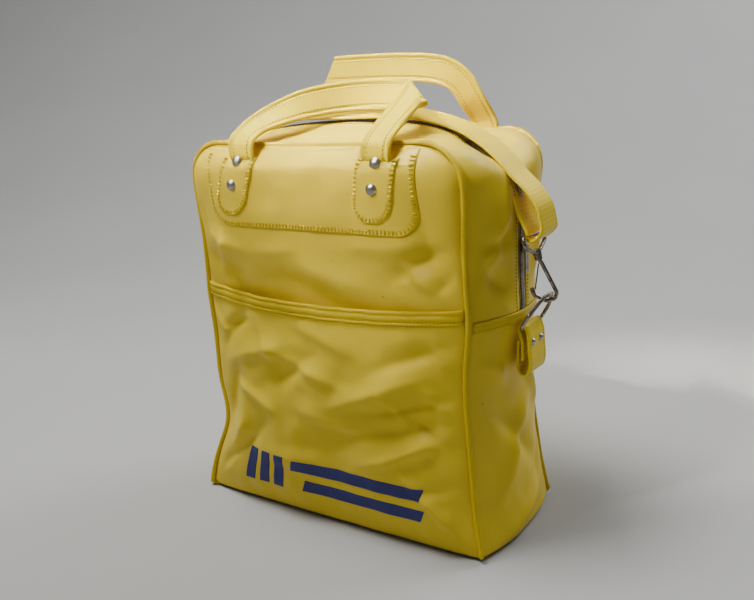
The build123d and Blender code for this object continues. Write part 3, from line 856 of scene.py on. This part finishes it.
def gussets():
    rows = np.arange(0, HEM_ROW + 1)
    left_rows = COUNT - 1 - rows
    cols = 70
    for word, which in (("right", rows), ("left", left_rows)):
        t = np.linspace(0, 1, cols)
        rr, tt = np.meshgrid(which, t, indexing="ij")
        z0 = GIRTH[rr, 1]
        y = front_y(z0) + (back_y(z0) - front_y(z0)) * tt
        y = y + foot_tuck(z0) * (1 - 2 * tt)
        gusset = grid_piece(f"gusset_{word}", girth_point(rr, y), VINYL, flip=word == "left")
        declare(gusset, "body_vinyl", f"side_gusset_{word}")
        hem(word, which)
    over = np.arange(HEM_ROW, COUNT - HEM_ROW)
    for word, side in (("front", -1), ("back", 1)):
        strip = girth_strip(f"strip_{word}", over, side, 7.6, VINYL)
        declare(strip, "body_vinyl", f"zip_gusset_{word}")
        tape_part(word, side, over)
        teeth_part(word, side, over)
        zip_stitches(word, side, over)


def hem(word, which):
    """The turned-over top edge of the lower gusset, with two rows of stitches."""
    top = which[-1]
    z_mid = GIRTH[top, 1]
    sign = 1 if GIRTH[top, 0] > 0 else -1
    y = np.linspace(front_y(z_mid) + 2.5, back_y(z_mid) - 2.5, 90)
    section = [
        (-9.0, 0.1), (-8.6, 0.9), (-7.5, 1.2), (-6.0, 1.0), (-4.5, 1.3), (-2.2, 1.1), (-0.8, 1.7),
        (0.6, 1.8), (1.3, 1.1), (1.0, -0.4), (-8.8, -0.6),
    ]
    points = []
    outs = []
    for yy in y:
        at = girth_point(np.array([top]), np.array([yy]))[0]
        low = girth_point(np.array([top - 3 * sign]), np.array([yy]))[0]
        up = unit((at - low) * np.array([1, 0, 1]))
        out = unit(np.array([up[2] * sign, 0, -up[0] * sign]))
        outs.append((at, up, out))
        points += [at + s * up + h * out for s, h in section]
    faces = grid_faces(len(y), len(section), wrap=True, flip=sign > 0)
    obj = make_mesh(f"hem_{word}", points, faces, TRIM)
    declare(obj, "body_vinyl", f"side_hem_{word}")
    store = ([], [])
    for level in (-2.3, -6.2):
        line = np.array([a + level * u + 1.0 * o for a, u, o in outs])
        places, ahead = even_places(line, 3.2)
        face = unit(np.array([outs[len(outs) // 2][2]] * len(places)))
        stitch_run(store, places, ahead, face, HEM_STITCH)
    declare(make_mesh(f"hem_stitches_{word}", store[0], store[1], THREAD), "trim_vinyl")


def tape_part(word, side, over):
    """One side's woven tape."""
    cols = 5
    rr, tt = np.meshgrid(over, np.linspace(0, 1, cols), indexing="ij")
    bow = lane_y(rr)
    y = side * (0.9 + bow + 7.6 * tt)
    tape = grid_piece(f"tape_{word}", girth_point(rr, y, -1.2 - 0.5 * tt), TAPE, flip=side > 0, thick=0.7)
    declare(tape, "zip_tape", f"zip_tape_{word}")


def teeth_part(word, side, over):
    """One side's metal teeth; the two sides' teeth stand between each other."""
    fine = np.linspace(over[0], over[-1], 1600)
    base = over.astype(float)
    edge = girth_point(over, side * (1.7 + lane_y(over)), -0.6)
    line = np.stack([np.interp(fine, base, edge[:, k]) for k in range(3)], axis=-1)
    normal = np.stack([np.interp(fine, base, GIRTH[over, k]) for k in (2, 3)], axis=-1)
    gaps = np.linalg.norm(np.diff(line, axis=0), axis=1)
    run = np.concatenate([[0], np.cumsum(gaps)])
    at = np.arange(1.0 + 0.65 * (side > 0), run[-1] - 1, 2.0)
    pos = np.stack([np.interp(at, run, line[:, k]) for k in range(3)], axis=-1)
    nrm = np.stack([np.interp(at, run, normal[:, k]) for k in range(2)], axis=-1)
    points, faces = [], []
    for p, n in zip(pos, nrm):
        out = unit(np.array([n[0], 0.0, n[1]]))
        along = np.array([-out[2], 0.0, out[0]])
        inward = np.array([0.0, -side, 0.0])
        base_i = len(points)
        for a, wide in ((-1.2, 0.62), (0.9, 0.62), (1.9, 0.45)):
            for h in (-1.1, 1.1):
                for s in (-1, 1):
                    points.append(p + inward * a + along * s * wide + out * h * (1.0 if a < 1.5 else 0.75))
        for k in (0, 4):
            q = base_i + k
            faces += [(q, q + 1, q + 5, q + 4), (q + 2, q + 6, q + 7, q + 3), (q, q + 4, q + 6, q + 2),
                      (q + 1, q + 3, q + 7, q + 5)]
        faces += [(base_i, base_i + 2, base_i + 3, base_i + 1),
                  (base_i + 8, base_i + 9, base_i + 11, base_i + 10)]
    teeth = make_mesh(f"teeth_{word}", points, faces, ZIP_METAL, smooth=False)
    declare(teeth, "zip_metal", f"zip_teeth_{word}")


def zip_stitches(word, side, over):
    """The row of stitches that holds one side's tape."""
    base = over.astype(float)
    store = ([], [])
    seam = girth_point(over, side * (11.0 + lane_y(over)), 0.1)
    places, ahead = even_places(seam, 3.2)
    where = np.interp(np.arange(len(places)), np.linspace(0, len(places) - 1, len(over)), base)
    way_x = np.interp(where, base, GIRTH[over, 2])
    way_z = np.interp(where, base, GIRTH[over, 3])
    face = unit(np.stack([way_x, 0 * where, way_z], axis=-1))
    stitch_run(store, places, ahead, face, ZIP_STITCH)
    declare(make_mesh(f"zip_stitches_{word}", store[0], store[1], THREAD), "trim_vinyl")


# ---- handles, shoulder strap and tabs ----
HANDLE_W = 27.0
HINGE_Z = 337.5
STRAP_W = 38.0
RING_PIVOT = (165.5, 190.0)
EYE_WIRE_R = 1.7
EYE_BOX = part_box("strap_eye_right")
EYE_X = ((Vector(EYE_BOX[0]) + Vector(EYE_BOX[1])) / 2)[0] / MM
EYE_TOP = EYE_BOX[1][2] / MM - EYE_WIRE_R

# stops are (x, y, z) and the direction of the band's edge; y None is on the hinge

FRONT_STOPS = [
    (-62, None, HINGE_Z, -1, 0, 0), (-63, 3, 349, -1, 0, 0.1), (-62, -70, 358.5, -0.95, 0.1, 0.3),
    (-53, -51, 367.5, -0.8, 0.1, 0.6), (-36, -31, 376, -0.4, 0.1, 0.9),
    (-14, -13, 380.5, -0.1, 0, 1), (12, -6, 382, 0, 0.05, 1), (40, -9, 381.5, 0, 0.25, 0.97),
    (60, -17, 380.5, 0, 0.5, 0.84), (70, -22.5, 380, -0.35, 0.56, 0.8),
    (77.4, -26, 380, -0.86, 0.55, 0.65), (79.4, -27.5, 382.6, -0.86, 0.55, 0.65),
    (77.6, -30.5, 382, -0.86, 0.55, 0.65), (77, -38, 377.5, -0.95, 0.25, 0.3),
    (76.6, -50, 370, -1, 0, 0.05), (76, -70, 358.5, -1, 0, 0), (75.5, 3, 348, -1, 0, 0),
    (75, None, HINGE_Z, -1, 0, 0),
]
BACK_STOPS = [
    (-75, None, HINGE_Z, 1, 0, 0), (-79, -1, 350, 1, 0, 0), (-87, 98, 368, 0.98, 0, 0.1),
    (-91, 91, 388, 0.92, 0, 0.35), (-86, 87.5, 402, 0.66, 0, 0.95),
    (-88.5, 85.5, 406, 0.58, 0, 1.0), (-85, 83, 406.5, 0.5, 0, 1.0), (-74, 81, 406.5, 0.12, 0, 1),
    (-45, 80, 406.5, 0, 0, 1), (0, 80, 405.5, 0, 0, 1), (30, 80.5, 403, 0.1, 0, 1),
    (49, 82, 398, 0.35, 0, 0.94), (61, 85, 388, 0.75, 0, 0.66), (68, 90, 373, 0.95, 0, 0.3),
    (73, -3, 356, 1, 0, 0.1), (75, -0.5, 347, 1, 0, 0), (75, None, HINGE_Z, 1, 0, 0),
]


def handle_path(stops, hinge_y):
    """Centre line and edge direction, longer where a fold is cut aslant.

    Small depths low down, near the hinge, are counted from it.
    """
    rows = []
    tuck = 2.2 if hinge_y < 0 else -2.2
    for x, y, z, wx, wy, wz in stops:
        depth = hinge_y if y is None else (hinge_y + y if abs(y) < 4.5 and z < 362 else y)
        rows.append((x, depth, z, wx, wy, wz))
    ends = [[row[0], row[1] + tuck, row[2] - 6.0, *row[3:]] for row in (rows[0], rows[-1])]
    rows = [ends[0], *rows, ends[1]]
    both = spline_through(rows, 340)
    return both[:, :3], both[:, 3:]


def joint_place(name):
    joint = next(j for j in frame["record"]["behaviour"]["joints"] if j["name"] == name)
    return [c / MM for c in joint["pos_m"]]


def handles():
    for word, stops in (("front", FRONT_STOPS), ("back", BACK_STOPS)):
        path, across = handle_path(stops, joint_place(f"{word}_handle_swing")[1])
        section = strap_section(HANDLE_W, 2.6, 2.0, 0.9)
        grip = swept(f"{word}_grip", path, across, section, STRAP, body=f"{word}_handle", aslant=True)
        declare(grip, "strap_vinyl", f"{word}_handle")
        store = ([], [])
        _, _, face = path_frames(path, across)
        for outward in (-face, face):
            for s in (-7.4, 7.4):
                stitched_line(store, path + across * s + outward * 1.18, outward, 3.3, HANDLE_STITCH)
        stitches = make_mesh(f"{word}_grip_stitches", store[0], store[1], THREAD, body=f"{word}_handle")
        declare(stitches, "trim_vinyl")


def strap_route():
    """The shoulder strap's centre line: each end turns round its eye and back up inside the strap."""
    ex, ez = EYE_X, EYE_TOP
    inner = [(138.5, 324.5), (147, 315), (156, 298), (161.5, 283), (ex - 4.2, ez + 5), (ex - 2.7, ez - 1.4)]
    outer = [
        (ex + 0.3, ez - 3.1), (ex + 4.8, ez - 0.5), (ex + 9, ez + 5), (180, 279), (176.5, 291), (167, 304),
        (154.5, 315.5), (140, 331), (121, 345), (100, 355), (66, 363.5), (30, 366.5),
    ]
    right = inner + outer
    route = right + [(0, 367)] + [(-x, z) for x, z in right[::-1]]
    return spline_through([(x, 0, z) for x, z in route], 700)


def shoulder_strap():
    path = strap_route()
    x = path[:, 0]
    path[:, 1] = 1.5 * np.sin(x / 60.0) + 0.8
    across = np.tile([0.0, 1.0, 0.0], (len(path), 1))
    across[:, 0] = 0.05 * np.sin(x / 45.0)
    across[:, 2] = 0.25 * np.exp(-(x / 75.0) ** 2)
    section = strap_section(STRAP_W - 2, 2.0, 1.25, 0.2)
    main = swept("strap_band", path, across, section, STRAP)
    declare(main, "strap_vinyl", "shoulder_strap")
    store = ([], [])
    _, wide, face = path_frames(path, across)
    for s in (-14, -9.4, -4.7, 0, 4.7, 9.4, 14):
        for outward in (-face, face):
            stitched_line(store, path + wide * s + outward * 0.95, outward, 3.6, STRAP_STITCH)
    declare(make_mesh("strap_stitches", store[0], store[1], TRIM), "trim_vinyl")


def tabs():
    """A folded tab on each side: it holds the ring in its bend and is riveted to itself."""
    for word, side in (("right", 1), ("left", -1)):
        px, pz = RING_PIVOT
        out_leg = [(px + 4.6, 184), (px + 5.4, 172), (px + 6.2, 160)]
        low = [(px + 3.8, 151.5), (px - 1.5, 150.5), (px - 4.2, 156)]
        in_leg = [(px - 4.4, 168), (px - 3.6, 180)]
        over = [(px + 2.8 * math.cos(a), pz + 2.8 * math.sin(a)) for a in np.linspace(math.pi, 0, 9)]
        loop = [(px - 0.2, 163), (px - 0.8, 178), (px - 2.7, 186)] + over + out_leg + low + in_leg
        line = spline_through([(side * a, 0, b) for a, b in loop], 200)
        across = np.tile([0.0, 1.0, 0.0], (len(line), 1))
        tab = swept(f"tab_{word}", line, across, strap_section(34.0, 1.9, 1.15, 0.2), STRAP)
        declare(tab, "strap_vinyl", f"ring_tab_{word}")
        store = ([], [])
        _, wide, face = path_frames(line, across)
        for s in (-13.5, 13.5):
            for outward in (-face, face):
                stitched_line(store, line + wide * s + outward * 0.85, outward, 3.0, TAB_STITCH)
        declare(make_mesh(f"tab_stitches_{word}", store[0], store[1], THREAD), "trim_vinyl")


# ---- rivets, print and the metal that comes from the frame ----
def dome(points, faces, centre, normal, radius, height, rim):
    """A pressed cap: a flat rim, a rounded shoulder and a shallow crown."""
    normal = unit(np.array(normal, dtype=float))
    side = unit(np.cross(normal, [0.0, 0.0, 1.0]))
    up = np.cross(side, normal)
    rings = [(radius + rim, -0.6), (radius + rim, 0.1), (radius, 0.45)]
    rings += [(radius * math.cos(a), 0.45 + height * math.sin(a)) for a in np.linspace(0.25, 1.45, 9)]
    base = len(points)
    cols = 28
    for r, h in rings:
        for k in range(cols):
            a = 2 * math.pi * k / cols
            points.append(np.array(centre) + side * r * math.cos(a) + up * r * math.sin(a) + normal * h)
    faces += grid_faces(len(rings), cols, wrap=True, start=base)
    faces.append(tuple(range(base, base + cols))[::-1])
    faces.append(tuple(range(base + cols * (len(rings) - 1), base + cols * len(rings))))


def rivets():
    for surface in ("front", "back"):
        points, faces = [], []
        for side in (-1, 1):
            for z in (311.0, 332.0):
                middle, lean = patch_place(surface, side)
                x = np.array([middle + lean * (335.5 - z)])
                at = np.array([[x[0], face_y(surface, x, np.array([z]), 4.0)[0], z]])
                dome(points, faces, at[0], normals_on(surface, at, 4.0)[0], 4.5, 2.4, 0.4)
        caps = make_mesh(f"{surface}_rivet_caps", points, faces, RIVET_METAL)
        declare(caps, "rivet", f"{surface}_handle_rivets")
    for word, side in (("right", 1), ("left", -1)):
        points, faces = [], []
        for y in (-8.0, 8.0):
            dome(points, faces, (side * (RING_PIVOT[0] + 6.3), y, 178.0), (side, 0, 0.08), 2.3, 1.2, 0.9)
        caps = make_mesh(f"tab_rivet_caps_{word}", points, faces, RIVET_METAL)
        declare(caps, "rivet", f"tab_rivets_{word}")


def printed_bars():
    """A plain mark of three slanted bars and two long stripes, all of one ink."""
    bars = []
    for k in range(3):
        bars.append((-98 + 18 * k, -86 + 18 * k, 26, 62, 9.0))
    bars.append((-36, 100, 48, 60, 5.0))
    bars.append((-26, 100, 28, 40, 5.0))
    points, faces = [], []
    for x0, x1, z0, z1, slant in bars:
        cols = max(8, int((x1 - x0) / 1.5))
        rows = max(6, int((z1 - z0) / 1.5))
        v, u = np.meshgrid(np.linspace(0, 1, rows), np.linspace(0, 1, cols), indexing="ij")
        z = z0 + (z1 - z0) * v
        x = x0 + (x1 - x0) * u + slant * v
        y = face_y("pocket", x, z, 0.22)
        base = len(points)
        points += list(np.stack([x, y, z], -1).reshape(-1, 3))
        faces += grid_faces(rows, cols, start=base)
    obj = make_mesh("printed_bars", points, faces, PRINT)
    solid = obj.modifiers.new("ink", "SOLIDIFY")
    solid.thickness = 0.12 * MM
    solid.offset = 1
    declare(obj, "body_vinyl")


def pull_in_left():
    """The soft left side is drawn in low down and flares again at its foot."""
    depth, height, spread = 14.0, 78, 34.0
    nodes = set(frame["nodes"])
    for obj in bpy.data.objects:
        if obj.type != "MESH" or obj.name in nodes or obj.name == "floor":
            continue
        for vertex in obj.data.vertices:
            x, z = vertex.co.x / MM, vertex.co.z / MM
            if x < -20 and z < 190:
                share = min(1.0, (-x - 20) / 115.0) * min(1.0, max(0.0, (45 - vertex.co.y / MM) / 95.0))
                vertex.co.x += MM * depth * share ** 1.5 * math.exp(-((z - height) / spread) ** 2)


def paint_metal():
    """The metal pieces keep their CAD shape and get a metal material and crisp edges."""
    for node in frame["nodes"]:
        obj = bpy.data.objects.get(node)
        if obj is None or obj.type != "MESH":
            continue
        if any(word in node for word in ("d_ring", "snap_hook", "hook_gate", "strap_eye")):
            chosen = NICKEL
        elif node in ("zip_slider", "zip_pull"):
            chosen = ZIP_METAL
        else:
            continue
        for slot in obj.material_slots:
            slot.material = chosen
        obj.data.shade_smooth()
        split = obj.modifiers.new("corners", "EDGE_SPLIT")
        split.split_angle = math.radians(38)


add_camera()
add_stage()
add_area("key", (-0.5, -0.3, 2.1), (0, 0.05, 0.3), 0.8, 57, (1.0, 0.99, 0.97))
add_area("near", (-0.42, -1.0, 1.45), (0, 0.0, 0.40), 0.22, 0.62, (1.0, 0.95, 0.8), 11)
add_area("fill", (-1.5, -2.0, 1.0), (0, 0, 0.2), 1.0, 2, (0.97, 0.98, 1.0))
add_area("back", (1.0, 2.2, 2.2), (0.2, 1.4, 0.2), 1.6, 60)
body_panels()
pocket_trim()
yokes()
pipings()
gussets()
handles()
shoulder_strap()
tabs()
rivets()
printed_bars()
paint_metal()
pull_in_left()
